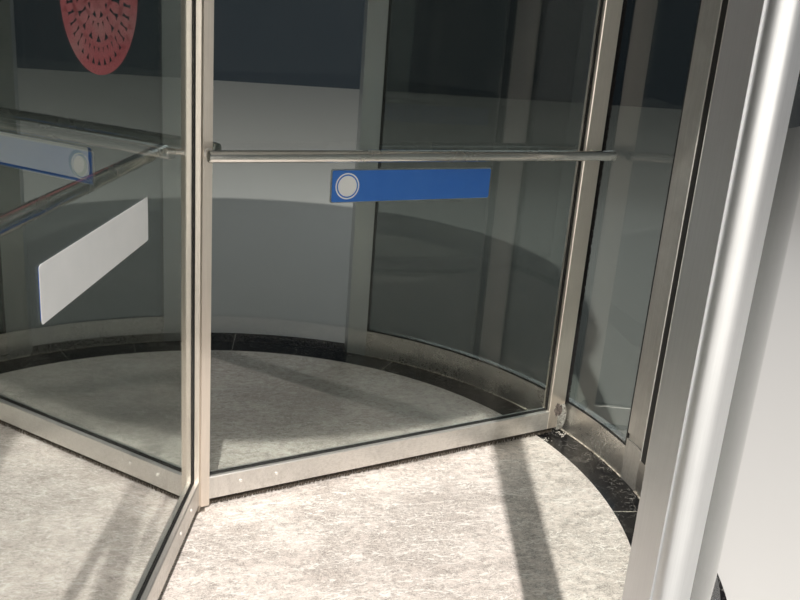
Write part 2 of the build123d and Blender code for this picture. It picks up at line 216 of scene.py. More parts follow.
# Steel work
# Every rail, post and stile is folded from 2 mm stainless sheet and satin-ground along its length.
# The grinding leaves fine lines one way, with dull hand marks and dust settled low down.
def steel(name, colour, roughness, stretch, line_depth=0.25, dust=0.35, metal=0.88, uneven=1.0):
    """Satin-ground stainless steel: soft broad glints drawn out along the lines of the grind.
    Stretch is 1 over the lines' size in metres, out, round and up. Dust is its share near the floor,
    metal how little the film on the steel dulls it, and uneven how strong lines and hand marks are."""
    finish, tree = new_finish(name)
    spot = drum_place(tree)
    lines = add(tree, "ShaderNodeVectorMath", {0: spot, 1: stretch}, operation="MULTIPLY").outputs[0]
    ground = add(tree, "ShaderNodeTexNoise", {"Vector": lines, "Scale": 1.0, "Detail": 4.0,
                                              "Roughness": 0.65}).outputs["Fac"]
    # marks of hands about 170 mm across, and specks of dust that start from 11 mm
    marks = add(tree, "ShaderNodeTexNoise", {"Vector": spot, "Scale": per_metre(166.7), "Detail": 6.0,
                                             "Roughness": 0.62, "Distortion": 0.4}).outputs["Fac"]
    mark = ramp(tree, marks, 0.42, 0.68, 0.0, 1.0)
    up = add(tree, "ShaderNodeSeparateXYZ", {0: spot}).outputs[2]
    low_down = ramp(tree, up, floor_top, 0.22, dust, 0.0)
    specks = add(tree, "ShaderNodeTexNoise", {"Vector": spot, "Scale": per_metre(11.11), "Detail": 5.0,
                                              "Roughness": 0.7}).outputs["Fac"]
    speck = ramp(tree, specks, 0.45, 0.7, 0.0, 1.0)
    dusty = add(tree, "ShaderNodeMath", {0: speck, 1: low_down}, operation="MULTIPLY").outputs[0]
    light = ramp(tree, ground, 0.3, 0.7, 1.0 - 0.20 * uneven, 1.0 + 0.04 * uneven)
    smudge = ramp(tree, mark, 0.0, 1.0, 1.0, 1.0 - 0.14 * uneven)
    shade = add(tree, "ShaderNodeMath", {0: light, 1: smudge}, operation="MULTIPLY").outputs[0]
    tone = add(tree, "ShaderNodeMix", {0: 1.0, 6: linear(colour), 7: shade}, data_type="RGBA",
               blend_type="MULTIPLY").outputs[2]
    dirty = mixed(tree, dusty, tone, linear("#8f877b"))
    dull = add(tree, "ShaderNodeMath", {0: ground, 1: 0.16 * uneven, 2: roughness - 0.08 * uneven},
               operation="MULTIPLY_ADD").outputs[0]
    duller = add(tree, "ShaderNodeMath", {0: mark, 1: 0.10 * uneven, 2: dull},
                 operation="MULTIPLY_ADD").outputs[0]
    dullest = add(tree, "ShaderNodeMath", {0: dusty, 1: 0.4, 2: duller},
                  operation="MULTIPLY_ADD").outputs[0]
    lay = add(tree, "ShaderNodeBump", {"Height": ground, "Strength": line_depth,
                                       "Distance": 0.0004}).outputs[0]
    shader = add(tree, "ShaderNodeBsdfPrincipled", {"Base Color": dirty, "Metallic": metal,
                                                    "Roughness": dullest, "Normal": lay})
    add(tree, "ShaderNodeOutputMaterial", {"Surface": shader.outputs[0]})
    return finish


# The real lines are 0.2 mm wide and run on for 160 mm or so: a width of 1.5 mm shows at this distance.
across, lengthwise = per_metre(1.5), per_metre(160.0)
upright = (across, across, lengthwise)
round_the_drum = (across, lengthwise, across)
along_a_wing = (lengthwise, across, across)
steel_round = steel("satin_steel_ground_round_the_drum", "#dedbd6", 0.40, round_the_drum)
steel_upright = steel("satin_steel_ground_upright", "#e2dfda", 0.42, upright)
steel_radial = steel("satin_steel_ground_along_the_wing", "#e2dfda", 0.38, along_a_wing)
# rails at foot height are polished, and posts and stiles ground so fine that their lines hardly show
steel_rail = steel("polished_steel_of_the_base_rails", "#e4e0da", 0.25, round_the_drum,
                   line_depth=0.06, dust=0.3, metal=0.9, uneven=0.6)
steel_post = steel("satin_steel_of_the_door_posts", "#d8dadb", 0.37, upright,
                   line_depth=0.06, dust=0.3, metal=0.95, uneven=0.35)
steel_stile = steel("satin_steel_of_stiles_and_shaft", "#ece3d8", 0.32, upright,
                    line_depth=0.06, dust=0.3, metal=0.92, uneven=0.5)
bays = ("right_front", "right_back", "left_front", "left_back")
coat_nodes(steel_rail, *("base_rail_" + bay for bay in bays))
coat_nodes(steel_round, "head_rail_left", "head_rail_right", "canopy_front", "canopy_back", "roof_cover")
coat_nodes(steel_upright, "middle_post_left", "middle_post_right")
coat_nodes(steel_post, "entrance_post_left", "entrance_post_right", "inside_post_left",
           "inside_post_right")
coat_nodes(steel_stile, "centre_post", "floor_pivot", *("wing_" + wing + "_outer_stile" for wing in "abc"))
for rail in ("_bottom_rail", "_top_rail"):
    coat_nodes(steel_radial, *("wing_" + wing + rail for wing in "abc"))


# Push bars
# Round tube of drawn stainless steel, 32 mm across, its ends closed, welded on two legs that bolt to the
# frame. Hands keep it smooth, with dull smears along it.
# Drawn tube is brighter than ground sheet: one sharp streak of light runs its whole length.
drawn_tube, tree = new_finish("drawn_steel_tube")
spot = add(tree, "ShaderNodeTexCoord").outputs["Object"]
smears = add(tree, "ShaderNodeTexNoise", {"Vector": spot, "Scale": per_metre(111.1),
                                          "Detail": 5.0}).outputs["Fac"]
smear = ramp(tree, smears, 0.4, 0.7, 0.0, 1.0)
tone = mixed(tree, smear, linear("#f6f4f0"), linear("#dedad3"))
dull = ramp(tree, smear, 0.0, 1.0, 0.2, 0.32)
shader = add(tree, "ShaderNodeBsdfPrincipled", {"Base Color": tone, "Metallic": 1.0, "Roughness": dull})
add(tree, "ShaderNodeOutputMaterial", {"Surface": shader.outputs[0]})
coat_nodes(drawn_tube, *("wing_" + wing + "_push_bar" for wing in "abc"))


# Sealant
# A bead of pale silicone run by hand along the foot of each base rail, where it meets the marble.
# It is uneven, and dust has stuck to it.
def deselect():
    """Leaves nothing selected, so that the next operator acts on new geometry alone."""
    bpy.ops.object.select_all(action="DESELECT")


def edit():
    """Opens the active piece for editing, with all of it selected."""
    bpy.ops.object.mode_set(mode="EDIT")
    bpy.ops.mesh.select_all(action="SELECT")


def close_edit():
    """Turns all faces outward and ends the editing."""
    bpy.ops.mesh.select_all(action="SELECT")
    bpy.ops.mesh.normals_make_consistent(inside=False)
    bpy.ops.object.mode_set(mode="OBJECT")


def sized(size=(1.0, 1.0, 1.0)):
    """Scales the primitive just added and moves its place and size into its mesh."""
    piece = bpy.context.object
    piece.scale = size
    bpy.ops.object.transform_apply(location=True, rotation=True, scale=True)
    return piece


def settle(piece, name, body, finish):
    """Names a finished piece, coats it and hangs it on the body that carries it."""
    piece.name = name
    piece.data.name = name
    piece.data.materials.clear()
    piece.data.materials.append(finish)
    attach(piece, body)
    return piece


def spun(inner, outer, bottom, top, start, end, soften):
    """A bar of that section, its corners softened, spun about the drum's axis between two angles."""
    deselect()
    bpy.ops.mesh.primitive_plane_add(size=1.0, location=((inner + outer) / 2, 0.0, (bottom + top) / 2),
                                     rotation=(pi / 2, 0.0, 0.0))
    piece = sized((outer - inner, top - bottom, 1.0))
    edit()
    bpy.ops.mesh.bevel(affect="VERTICES", offset=soften, segments=2)
    bpy.ops.mesh.select_all(action="SELECT")
    bpy.ops.mesh.spin(steps=max(2, round((end - start) / radians(2.0))), angle=end - start,
                      center=(0.0, 0.0, 0.0), axis=(0.0, 0.0, -1.0))
    close_edit()
    piece.data.transform(Matrix.Rotation(start, 4, "Z"))
    bpy.ops.object.shade_smooth_by_angle(angle=radians(35.0))
    return piece


def joined(pieces):
    """Several pieces made into one mesh."""
    deselect()
    for piece in pieces:
        piece.select_set(True)
    bpy.context.view_layer.objects.active = pieces[0]
    bpy.ops.object.join()
    return pieces[0]


mid_post_edge = radians(2.0)
end_post_edge = radians(58.4)
bay_ends = {
    "right_back": (mid_post_edge, end_post_edge),
    "right_front": (-end_post_edge, -mid_post_edge),
    "left_back": (pi - end_post_edge, pi - mid_post_edge),
    "left_front": (pi + mid_post_edge, pi + end_post_edge),
}
bead_width = 0.0035
bead_soak = 0.0002
bead_round = 0.0012
bead_waver = 0.0011
bead_stuck = 0.0005

# Silicone is soft and half dull, and grey dust sticks to it in patches.
silicone, tree = new_finish("dusty_silicone_sealant")
spot = add(tree, "ShaderNodeTexCoord").outputs["Object"]
dust = add(tree, "ShaderNodeTexNoise", {"Vector": spot, "Scale": per_metre(16.67), "Detail": 5.0,
                                        "Roughness": 0.7}).outputs["Fac"]
bare = ramp(tree, dust, 0.4, 0.6, 0.0, 1.0)
tone = mixed(tree, bare, linear("#6e675e"), linear("#d8d1c4"))
lumps = add(tree, "ShaderNodeBump", {"Height": dust, "Strength": 0.4, "Distance": 0.001}).outputs[0]
shader = add(tree, "ShaderNodeBsdfPrincipled", {"Base Color": tone, "Roughness": 0.6, "Normal": lumps})
add(tree, "ShaderNodeOutputMaterial", {"Surface": shader.outputs[0]})

# the hand that runs a bead wavers, so its free side does: what touches the rail stays there
for bay, (start, end) in bay_ends.items():
    bead = spun(rail_radius - bead_width, rail_radius + bead_soak, floor_top, floor_top + bead_width,
                start, end, bead_round)
    hand = random.Random(3)
    for vertex in bead.data.vertices:
        if vertex.co.xy.length < rail_radius - bead_stuck:
            vertex.co.xy *= 1.0 - hand.uniform(0.0, bead_waver)
    settle(bead, "sealant_bead_" + bay, "drum", silicone)


# Glass
# The walls are 12 mm panes bent to the drum's curve and the wings hold flat 8 mm panes, all of it tempered.
# It is faintly grey-green, with a film of street dust that thickens towards the bottom.
def glass(name, tint, shadow, dust):
    """Tempered glass: sharp reflections over a grey-green dimness, with a dull film on it.
    Tint colours what is seen through it, shadow the light that gets past it, and dust is the film's
    share at the bottom."""
    finish, tree = new_finish(name)
    spot = add(tree, "ShaderNodeTexCoord").outputs["Object"]
    up = add(tree, "ShaderNodeSeparateXYZ", {0: spot}).outputs[2]
    # smears about 300 mm across
    smears = add(tree, "ShaderNodeTexNoise", {"Vector": spot, "Scale": per_metre(312.5), "Detail": 6.0,
                                              "Roughness": 0.62, "Distortion": 0.8}).outputs["Fac"]
    smear = ramp(tree, smears, 0.4, 0.75, 0.15, 1.0)
    low_down = ramp(tree, up, 0.1, 0.9, dust, dust * 0.3)
    film = add(tree, "ShaderNodeMath", {0: smear, 1: low_down}, operation="MULTIPLY").outputs[0]
    clear = add(tree, "ShaderNodeBsdfPrincipled", {"Base Color": linear(tint), "Roughness": 0.0, "IOR": 1.5,
                                                   "Transmission Weight": 1.0})
    grime = add(tree, "ShaderNodeBsdfDiffuse", {"Color": linear("#a39c90")})
    dirty = add(tree, "ShaderNodeMixShader", {0: film, 1: clear.outputs[0], 2: grime.outputs[0]})
    open_air = add(tree, "ShaderNodeBsdfTransparent", {"Color": linear(shadow)})
    ray = add(tree, "ShaderNodeLightPath").outputs["Is Shadow Ray"]
    whole = add(tree, "ShaderNodeMixShader", {0: ray, 1: dirty.outputs[0], 2: open_air.outputs[0]})
    add(tree, "ShaderNodeOutputMaterial", {"Surface": whole.outputs[0]})
    return finish


bent_glass = glass("bent_tempered_glass", "#858c89", "#f2f4f2", 0.04)
flat_glass = glass("flat_tempered_glass", "#cfd4d1", "#f0f2f0", 0.04)
coat_nodes(bent_glass, *("wall_glass_" + bay for bay in bays))
coat_nodes(flat_glass, *("wing_" + wing + "_glass" for wing in "abc"))


# Pane gaskets
# Wedges of black rubber pressed in on both sides of the bent panes, along base rails and head rails.
# They stand a little proud of the steel.
# Extruded rubber is a dead black with a faint grey bloom.
rubber, tree = new_finish("black_rubber")
spot = add(tree, "ShaderNodeTexCoord").outputs["Object"]
# its pores are finer than 0.1 mm: they are drawn from 5.6 mm down so that they show
skin = add(tree, "ShaderNodeTexNoise", {"Vector": spot, "Scale": per_metre(5.556),
                                        "Detail": 3.0}).outputs["Fac"]
tone = mixed(tree, skin, linear("#101011"), linear("#262524"))
pores = add(tree, "ShaderNodeBump", {"Height": skin, "Strength": 0.2, "Distance": 0.0005}).outputs[0]
shader = add(tree, "ShaderNodeBsdfPrincipled", {"Base Color": tone, "Roughness": 0.55, "Normal": pores})
add(tree, "ShaderNodeOutputMaterial", {"Surface": shader.outputs[0]})
coat_nodes(rubber, "wall_gaskets")

pane_inner, pane_outer = 1.404, 1.416
wedge_width = 0.0019
wedge_proud = 0.003
wedge_round = 0.0007
base_rail_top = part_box("base_rail_right_front")[1].z
head_rail_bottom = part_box("head_rail_right")[0].z
for bay, (start, end) in bay_ends.items():
    wedges = []
    for lip in (base_rail_top, head_rail_bottom):
        low, high = lip - wedge_proud, lip + wedge_proud
        wedges.append(spun(pane_inner - wedge_width, pane_inner, low, high, start, end, wedge_round))
        wedges.append(spun(pane_outer, pane_outer + wedge_width, low, high, start, end, wedge_round))
    settle(joined(wedges), "pane_gaskets_" + bay, "drum", rubber)


# Joint trims
# Two strips of bright-rolled steel edge the wide rubber joint beside each middle post.
# They run from the base rail to the head rail.
trim_inner, trim_outer = 1.3992, 1.4022
trim_angle = radians(0.12)
trim_places = (radians(-2.08), radians(-3.66))
trim_round = 0.0005
# bright-rolled steel is brighter than the ground sheet beside it, and its colour is also painted paler and
# half matt, a painted highlight, so each strip reads as a light line
bright_steel_with_painted_highlight = steel("bright_rolled_steel_trim", "#f4f0ea", 0.36, upright,
                     line_depth=0.05, dust=0.2, metal=0.5)
for side in ("right", "left"):
    strips = []
    for angle in trim_places:
        middle = angle if side == "right" else pi - angle
        strips.append(spun(trim_inner, trim_outer, base_rail_top, head_rail_bottom,
                           middle - trim_angle / 2, middle + trim_angle / 2, trim_round))
    settle(joined(strips), "joint_trims_" + side, "drum", bright_steel_with_painted_highlight)


# Ceiling and bearing
# A round panel of white-lacquered sheet lies on the canopy's ledge round the shaft.
# The bearing housing above it is grey-painted cast iron, closed in by the canopy and the roof.
# Sprayed lacquer is white and half glossy, with the fine dimples of orange peel.
lacquer, tree = new_finish("white_lacquered_sheet")
spot = add(tree, "ShaderNodeTexCoord").outputs["Object"]
skin = add(tree, "ShaderNodeTexNoise", {"Vector": spot, "Scale": per_metre(250.0),
                                        "Detail": 5.0}).outputs["Fac"]
tone = mixed(tree, skin, linear("#d9d8d4"), linear("#e4e3df"))
# the dimples are 1 to 2 mm wide: 4 mm shows at this distance
orange_peel = add(tree, "ShaderNodeTexNoise", {"Vector": spot, "Scale": per_metre(4.0),
                                               "Detail": 2.0}).outputs["Fac"]
peel = add(tree, "ShaderNodeBump", {"Height": orange_peel, "Strength": 0.08,
                                    "Distance": 0.0005}).outputs[0]
shader = add(tree, "ShaderNodeBsdfPrincipled", {"Base Color": tone, "Roughness": 0.38, "Normal": peel})
add(tree, "ShaderNodeOutputMaterial", {"Surface": shader.outputs[0]})
coat_nodes(lacquer, "ceiling_panel")

# Sand-cast iron stays rough under its paint, so it looks flat grey.
iron, tree = new_finish("grey_painted_cast_iron")
spot = add(tree, "ShaderNodeTexCoord").outputs["Object"]
# the sand leaves grains of 0.5 mm: they are drawn from 3.3 mm down so that they show
sand = add(tree, "ShaderNodeTexNoise", {"Vector": spot, "Scale": per_metre(3.333),
                                        "Detail": 4.0}).outputs["Fac"]
tone = mixed(tree, sand, linear("#55585a"), linear("#6d7072"))
rough_cast = add(tree, "ShaderNodeBump", {"Height": sand, "Strength": 0.3,
                                          "Distance": 0.0008}).outputs[0]
shader = add(tree, "ShaderNodeBsdfPrincipled", {"Base Color": tone, "Roughness": 0.6, "Normal": rough_cast})
add(tree, "ShaderNodeOutputMaterial", {"Surface": shader.outputs[0]})
coat_nodes(iron, "top_bearing")


# Wing gaskets
# Each flat pane is wedged into its frame by a loop of black rubber on either face.
# The loop stands 3 mm proud of rails, stile and centre post.
wing_turns = {}
for wing in "abc":
    low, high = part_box("wing_" + wing + "_glass")
    wing_turns[wing] = atan2(low.y + high.y, low.x + high.x)
bottom_rail_low, bottom_rail_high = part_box("wing_a_bottom_rail")
top_rail_low, top_rail_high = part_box("wing_a_top_rail")
post_reach = 0.038
stile_reach = 1.308
wing_half = 0.022
pane_half = 0.004
loop_lip = 0.003
loop_depth = 0.0042
loop_round = 0.0008


def turned(piece, wing):
    """A copy, with its own mesh, of a piece modelled along +X, turned to its wing."""
    copy = piece.copy()
    copy.data = piece.data.copy()
    copy.data.transform(Matrix.Rotation(wing_turns[wing], 4, "Z"))
    bpy.context.scene.collection.objects.link(copy)
    return copy


def discard(piece):
    """Removes a piece that was only a pattern for its copies."""
    bpy.data.objects.remove(piece, do_unlink=True)


def on_every_wing(piece, name, finish):
    """Copies of a piece modelled along +X, one on each wing, in place of the piece itself."""
    copies = []
    for wing in "abc":
        copies.append(settle(turned(piece, wing), "wing_" + wing + "_" + name, "rotor", finish))
    discard(piece)
    return copies


def gasket_loop(side):
    """A rubber frame on one face of a pane, from the post to the stile."""
    length = stile_reach - post_reach
    height = top_rail_low.z - bottom_rail_high.z
    middle = Vector((post_reach + length / 2, side * pane_half, bottom_rail_high.z + height / 2))
    deselect()
    bpy.ops.mesh.primitive_plane_add(size=1.0, location=middle, rotation=(pi / 2, 0.0, 0.0))
    piece = sized((length, height, 1.0))
    edit()
    bpy.ops.mesh.inset(thickness=loop_lip)
    bpy.ops.mesh.delete(type="FACE")
    bpy.ops.mesh.select_all(action="SELECT")
    bpy.ops.mesh.extrude_region_move(TRANSFORM_OT_translate={"value": (0.0, side * loop_depth, 0.0)})
    bpy.ops.mesh.select_all(action="SELECT")
    bpy.ops.mesh.bevel(offset=loop_round, segments=2)
    close_edit()
    return piece


loops = joined([gasket_loop(-1.0), gasket_loop(1.0)])
on_every_wing(loops, "gaskets", rubber)


# Rail screws
# Two pan-head screws on each face hold the bottom rail to the fitting inside it.
# They are bright stainless steel, pressed to a dome with a round recess for the driver.
screw_radius = 0.0055
screw_height = 0.003
screw_round = 0.0017
recess_edge = 0.0012
recess_depth = 0.0012
screw_places = (0.133, 0.247)
screw_level = floor_top + 0.07


def pick_face(piece, way):
    """Selects the one face of the piece being edited that lies furthest that way."""
    bpy.ops.mesh.select_all(action="DESELECT")
    shape = bmesh.from_edit_mesh(piece.data)
    max(shape.faces, key=lambda face: face.calc_center_median().dot(way)).select_set(True)
    bmesh.update_edit_mesh(piece.data)


def pan_head(along, side):
    """A domed head with a round recess, standing on one face of a rail."""
    out = Vector((0.0, side, 0.0))
    deselect()
    middle = (along, side * (wing_half + screw_height / 2), screw_level)
    bpy.ops.mesh.primitive_cylinder_add(vertices=24, radius=screw_radius, depth=screw_height,
                                        location=middle, rotation=(-side * pi / 2, 0.0, 0.0))
    piece = sized()
    edit()
    pick_face(piece, out)
    bpy.ops.mesh.bevel(offset=screw_round, segments=4, profile=0.5)
    pick_face(piece, out)
    bpy.ops.mesh.inset(thickness=recess_edge)
    bpy.ops.mesh.extrude_region_move(TRANSFORM_OT_translate={"value": out * -recess_depth})
    close_edit()
    bpy.ops.object.shade_smooth_by_angle(angle=radians(40.0))
    return piece


heads = joined([pan_head(along, side) for along in screw_places for side in (-1.0, 1.0)])
# the screws take the trim's steel, whose pale half-matt colour is partly a painted highlight
on_every_wing(heads, "rail_screws", bright_steel_with_painted_highlight)


# Rosettes
# A washer covers the hole where each leg of a push bar enters the frame.
# It is turned from stainless bar, slipped over the leg and pressed flat against the steel.
rosette_radius = 0.013
rosette_height = 0.004
rosette_round = 0.0008
leg_radius = 0.008
leg_places = (0.027, 1.343)
bar_level = floor_top + 1.04


def rosette(along):
    """A flat ring with softened edges round a leg."""
    deselect()
    bpy.ops.mesh.primitive_circle_add(vertices=32, radius=rosette_radius, fill_type="NGON",
                                      location=(along, -wing_half, bar_level), rotation=(pi / 2, 0.0, 0.0))
    piece = sized()
    edit()
    bpy.ops.mesh.inset(thickness=rosette_radius - leg_radius)
    bpy.ops.mesh.delete(type="FACE")
    bpy.ops.mesh.select_all(action="SELECT")
    bpy.ops.mesh.extrude_region_move(TRANSFORM_OT_translate={"value": (0.0, -rosette_height, 0.0)})
    bpy.ops.mesh.select_all(action="SELECT")
    bpy.ops.mesh.bevel(offset=rosette_round, segments=2)
    close_edit()
    bpy.ops.object.shade_smooth_by_angle(angle=radians(40.0))
    return piece


washers = joined([rosette(along) for along in leg_places])
# the rosettes take the trim's steel, whose pale half-matt colour is partly a painted highlight
on_every_wing(washers, "rosettes", bright_steel_with_painted_highlight)


# Foot castings
# A block of cast zinc with a rounded nose closes the foot of each stile, with two screw holes and a slot.
# On the right-hand wing its inner corner has broken open, and the hollow behind it is corroded.
shoe_low, shoe_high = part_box("foot_castings")
shoe_start = 1.352
shoe_edge = 1.378
shoe_nose = 1.393
shoe_middle = (shoe_low.z + shoe_high.z) / 2
half_height = (shoe_high.z - shoe_low.z) / 2
nose_depth = shoe_nose - shoe_edge
nose_radius = (half_height ** 2 + nose_depth ** 2) / (2 * nose_depth)
shoe_round = 0.0018
hole_radius = 0.0028
hole_depth = 0.018
# each hole's distance out, its height and how far it is drawn out upwards: the lowest is a slot
hole_places = (
    (1.3805, 0.102, 1.0),
    (1.3855, 0.080, 1.0),
    (1.3690, 0.044, 1.6),
)

# Cast zinc keeps the roughness of its mould, and weather has left a dull bloom on it; the specks where it
# glints are painted into its colour.
zinc, tree = new_finish("weathered_cast_zinc")
spot = add(tree, "ShaderNodeTexCoord").outputs["Object"]
# the skin's pits are 0.3 mm wide: they are drawn from 6.7 mm down so that they show
sand = add(tree, "ShaderNodeTexNoise", {"Vector": spot, "Scale": per_metre(6.667), "Detail": 5.0,
                                        "Roughness": 0.7}).outputs["Fac"]
bloom = add(tree, "ShaderNodeTexNoise", {"Vector": spot, "Scale": per_metre(26.32),
                                         "Detail": 4.0}).outputs["Fac"]
# painted glints: pale specks in the colour stand for glints, on top of the real ones from the pitted bump
painted_glint = ramp(tree, sand, 0.42, 0.6, 0.0, 1.0)
weathered = ramp(tree, bloom, 0.52, 0.62, 0.0, 0.5)
tone = mixed(tree, painted_glint, linear("#a9a8a2"), linear("#e2e1dc"))
tone = mixed(tree, weathered, tone, linear("#7d766d"))
pitted = add(tree, "ShaderNodeBump", {"Height": sand, "Strength": 0.5, "Distance": 0.0012}).outputs[0]
shader = add(tree, "ShaderNodeBsdfPrincipled", {"Base Color": tone, "Metallic": 0.7, "Roughness": 0.42,
                                                "Normal": pitted})
add(tree, "ShaderNodeOutputMaterial", {"Surface": shader.outputs[0]})

# Steel that has rusted through and dried is dark, crusted and quite matt.
decay, tree = new_finish("corroded_steel_inside_the_foot")
spot = add(tree, "ShaderNodeTexCoord").outputs["Object"]
crust = add(tree, "ShaderNodeTexNoise", {"Vector": spot, "Scale": per_metre(4.762), "Detail": 5.0,
                                         "Roughness": 0.75}).outputs["Fac"]
scaly = ramp(tree, crust, 0.42, 0.62, 0.0, 1.0)
tone = mixed(tree, scaly, linear("#231b1a"), linear("#857871"))
flakes = add(tree, "ShaderNodeBump", {"Height": crust, "Strength": 0.9, "Distance": 0.002}).outputs[0]
shader = add(tree, "ShaderNodeBsdfPrincipled", {"Base Color": tone, "Roughness": 0.8, "Normal": flakes})
add(tree, "ShaderNodeOutputMaterial", {"Surface": shader.outputs[0]})


def bisect(point, normal):
    """Cuts off what lies on the normal's side of a plane and closes the cut."""
    bpy.ops.mesh.select_all(action="SELECT")
    bpy.ops.mesh.bisect(plane_co=point, plane_no=normal, use_fill=True, clear_outer=True)


def hollowed(piece, cutter):
    """Cuts one shape out of another and leaves the cut's faces in a second material slot."""
    cut = piece.modifiers.new("cut", "BOOLEAN")
    cut.operation = "DIFFERENCE"
    cut.solver = "EXACT"
    cut.material_mode = "TRANSFER"
    cut.object = cutter
    deselect()
    piece.select_set(True)
    bpy.context.view_layer.objects.active = piece
    bpy.ops.object.modifier_apply(modifier=cut.name)
    discard(cutter)


def foot_block():
    """The whole block with its rounded nose, softened edges and drilled holes."""
    deselect()
    bpy.ops.mesh.primitive_cylinder_add(vertices=180, radius=nose_radius, depth=2 * wing_half,
                                        location=(shoe_nose - nose_radius, 0.0, shoe_middle),
                                        rotation=(pi / 2, 0.0, 0.0))
    piece = sized()
    piece.data.materials.append(zinc)
    edit()
    bisect((shoe_start, 0.0, 0.0), (-1.0, 0.0, 0.0))
    bisect((0.0, 0.0, shoe_high.z), (0.0, 0.0, 1.0))
    bisect((0.0, 0.0, shoe_low.z), (0.0, 0.0, -1.0))
    bpy.ops.mesh.select_all(action="SELECT")
    bpy.ops.mesh.bevel(offset=shoe_round, segments=3, clamp_overlap=True)
    close_edit()
    bpy.ops.object.shade_smooth_by_angle(angle=radians(30.0))
    for out, up, tall in hole_places:
        for side in (-1.0, 1.0):
            deselect()
            bpy.ops.mesh.primitive_cylinder_add(vertices=20, radius=hole_radius, depth=hole_depth,
                                                location=(out, side * wing_half, floor_top + up),
                                                rotation=(pi / 2, 0.0, 0.0))
            drill = sized((1.0, 1.0, tall))
            drill.data.materials.append(decay)
            hollowed(piece, drill)
    return piece


def torn_hollow(seed, middle, size):
    """A lump with a ragged surface, for cutting a hole that looks torn."""
    deselect()
    bpy.ops.mesh.primitive_ico_sphere_add(subdivisions=3, radius=1.0, location=middle)
    lump = sized(size)
    hand = random.Random(seed)
    # torn inward by up to a sixth and outward by up to an eighth
    for vertex in lump.data.vertices:
        away = vertex.co - Vector(middle)
        vertex.co += away * hand.uniform(-0.16, 0.12)
    lump.data.materials.append(decay)
    return lump


blocks = {"b": foot_block()}
for wing in "ca":
    blocks[wing] = blocks["b"].copy()
    blocks[wing].data = blocks["b"].data.copy()
    bpy.context.scene.collection.objects.link(blocks[wing])
# the break is two lumps that meet: each one's seed, distance out, height and half sizes
breaks = (
    (11, 1.3590, 0.096, (0.0115, 0.010, 0.022)),
    (12, 1.3580, 0.072, (0.0070, 0.007, 0.009)),
)
for seed, out, up, size in breaks:
    hollowed(blocks["a"], torn_hollow(seed, (out, -wing_half, floor_top + up), size))
for wing, block in blocks.items():
    shoe = turned(block, wing)
    shoe.name = "wing_" + wing + "_foot_casting"
    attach(shoe, "rotor")
    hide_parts("foot_castings")
    discard(block)

# a thin ragged skin of rust on the steel and on the edge of the casting, beside the break
scab_along, scab_up = 1.3445, 0.102
scab_wide, scab_high = 0.0145, 0.028
scab_depth = 0.0006
deselect()
bpy.ops.mesh.primitive_circle_add(vertices=44, radius=1.0, fill_type="NGON", rotation=(pi / 2, 0.0, 0.0),
                                  location=(scab_along, -wing_half, floor_top + scab_up))
scab = sized((scab_wide, scab_high, 1.0))
hand = random.Random(17)
for vertex in scab.data.vertices:
    vertex.co.x += (vertex.co.x - scab_along) * hand.uniform(-0.45, 0.05)
    vertex.co.z += (vertex.co.z - floor_top - scab_up) * hand.uniform(-0.3, 0.08)
edit()
bpy.ops.mesh.extrude_region_move(TRANSFORM_OT_translate={"value": (0.0, -scab_depth, 0.0)})
close_edit()
settle(turned(scab, "a"), "wing_a_corroded_patch", "rotor", decay)
discard(scab)


# Chips
# Crumbs of stone and zinc, 2 to 7 mm across, lie loose on the marble under the broken casting.
# They have broken off the casting and the slabs, and feet and brushes have pushed them into two heaps.
# Each heap has its distance from the axis, its angle, its number of crumbs and their spread.
heaps = (
    (1.376, radians(15.9), 26, 0.014),
    (1.295, radians(15.0), 14, 0.012),
)
smallest, largest = 0.0012, 0.0036
wall_clearance = 0.006
flatness = 0.5
hand = random.Random(21)
crumbs = []
for out, turn, count, spread in heaps:
    for number in range(count):
        size = hand.uniform(smallest, largest)
        angle = turn + hand.gauss(0.0, spread) / out
        reach = min(out + hand.gauss(0.0, spread * 0.6), rail_radius - wall_clearance)
        deselect()
        spot = (reach * cos(angle), reach * sin(angle), floor_top + size * 0.45)
        bpy.ops.mesh.primitive_ico_sphere_add(subdivisions=1, radius=size, location=spot)
        crumb = sized((hand.uniform(0.6, 1.4), hand.uniform(0.6, 1.4), flatness))
        corners = crumb.data.vertices
        middle = sum((vertex.co for vertex in corners), Vector()) / len(corners)
        # each corner is broken in or out by up to a third of its distance
        for vertex in corners:
            vertex.co += (vertex.co - middle) * hand.uniform(-0.35, 0.3)
        crumbs.append(crumb)

# Freshly broken stone and zinc are pale, dusty and quite matt.
crumbled, tree = new_finish("crumbled_stone_and_zinc")
spot = add(tree, "ShaderNodeTexCoord").outputs["Object"]
speck = add(tree, "ShaderNodeTexNoise", {"Vector": spot, "Scale": per_metre(3.846),
                                         "Detail": 3.0}).outputs["Fac"]
tone = mixed(tree, speck, linear("#9b938a"), linear("#f1ece4"))
shader = add(tree, "ShaderNodeBsdfPrincipled", {"Base Color": tone, "Roughness": 0.8})
add(tree, "ShaderNodeOutputMaterial", {"Surface": shader.outputs[0]})
settle(joined(crumbs), "stone_chips", "drum", crumbled)


